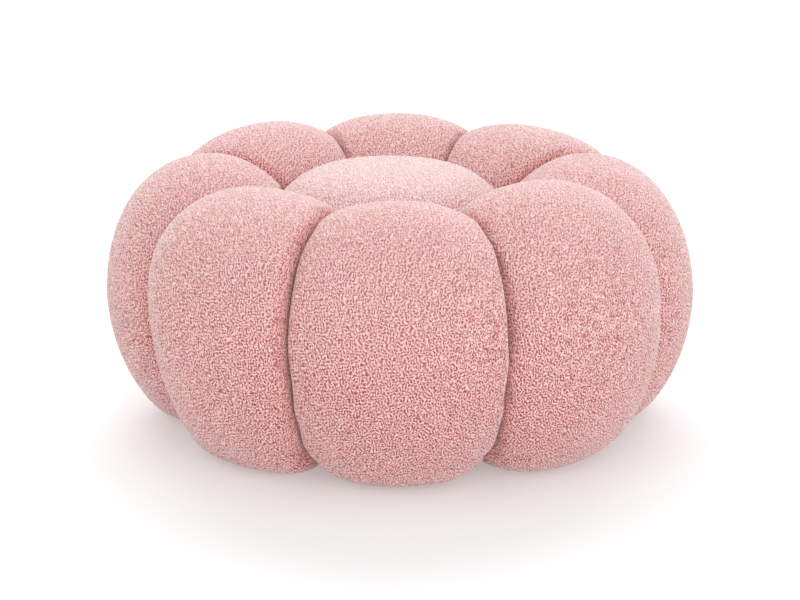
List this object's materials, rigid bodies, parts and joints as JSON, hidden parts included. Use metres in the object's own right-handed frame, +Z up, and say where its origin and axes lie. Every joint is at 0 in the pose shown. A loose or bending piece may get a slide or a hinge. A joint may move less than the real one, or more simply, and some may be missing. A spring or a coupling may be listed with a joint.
{
  "type": "boucle pouf",
  "caption": "Round upholstered pouf: a ring of plump vertical lobes pressed together around a domed seat, covered all over in pale pink boucle.",
  "frame": {"origin": "on the axis of the ring of lobes, at the underside, where the pouf meets the floor", "axes": "+Z up; the front lobe faces -Y and +X is to its right in the picture"},
  "size_m": [0.8497, 0.8416, 0.3892],
  "materials": {
    "lobe_fabric": "pale pink boucle, matte, curly pile",
    "seat_fabric": "pale pink boucle, matte, curly pile"
  },
  "bodies": {
    "root": {"lobe_front": "lobe_fabric", "lobe_front_right": "lobe_fabric", "lobe_right": "lobe_fabric", "lobe_back_right": "lobe_fabric", "lobe_back": "lobe_fabric", "lobe_back_left": "lobe_fabric", "lobe_left": "lobe_fabric", "lobe_front_left": "lobe_fabric", "seat": "seat_fabric"}
  },
  "joints": []
}
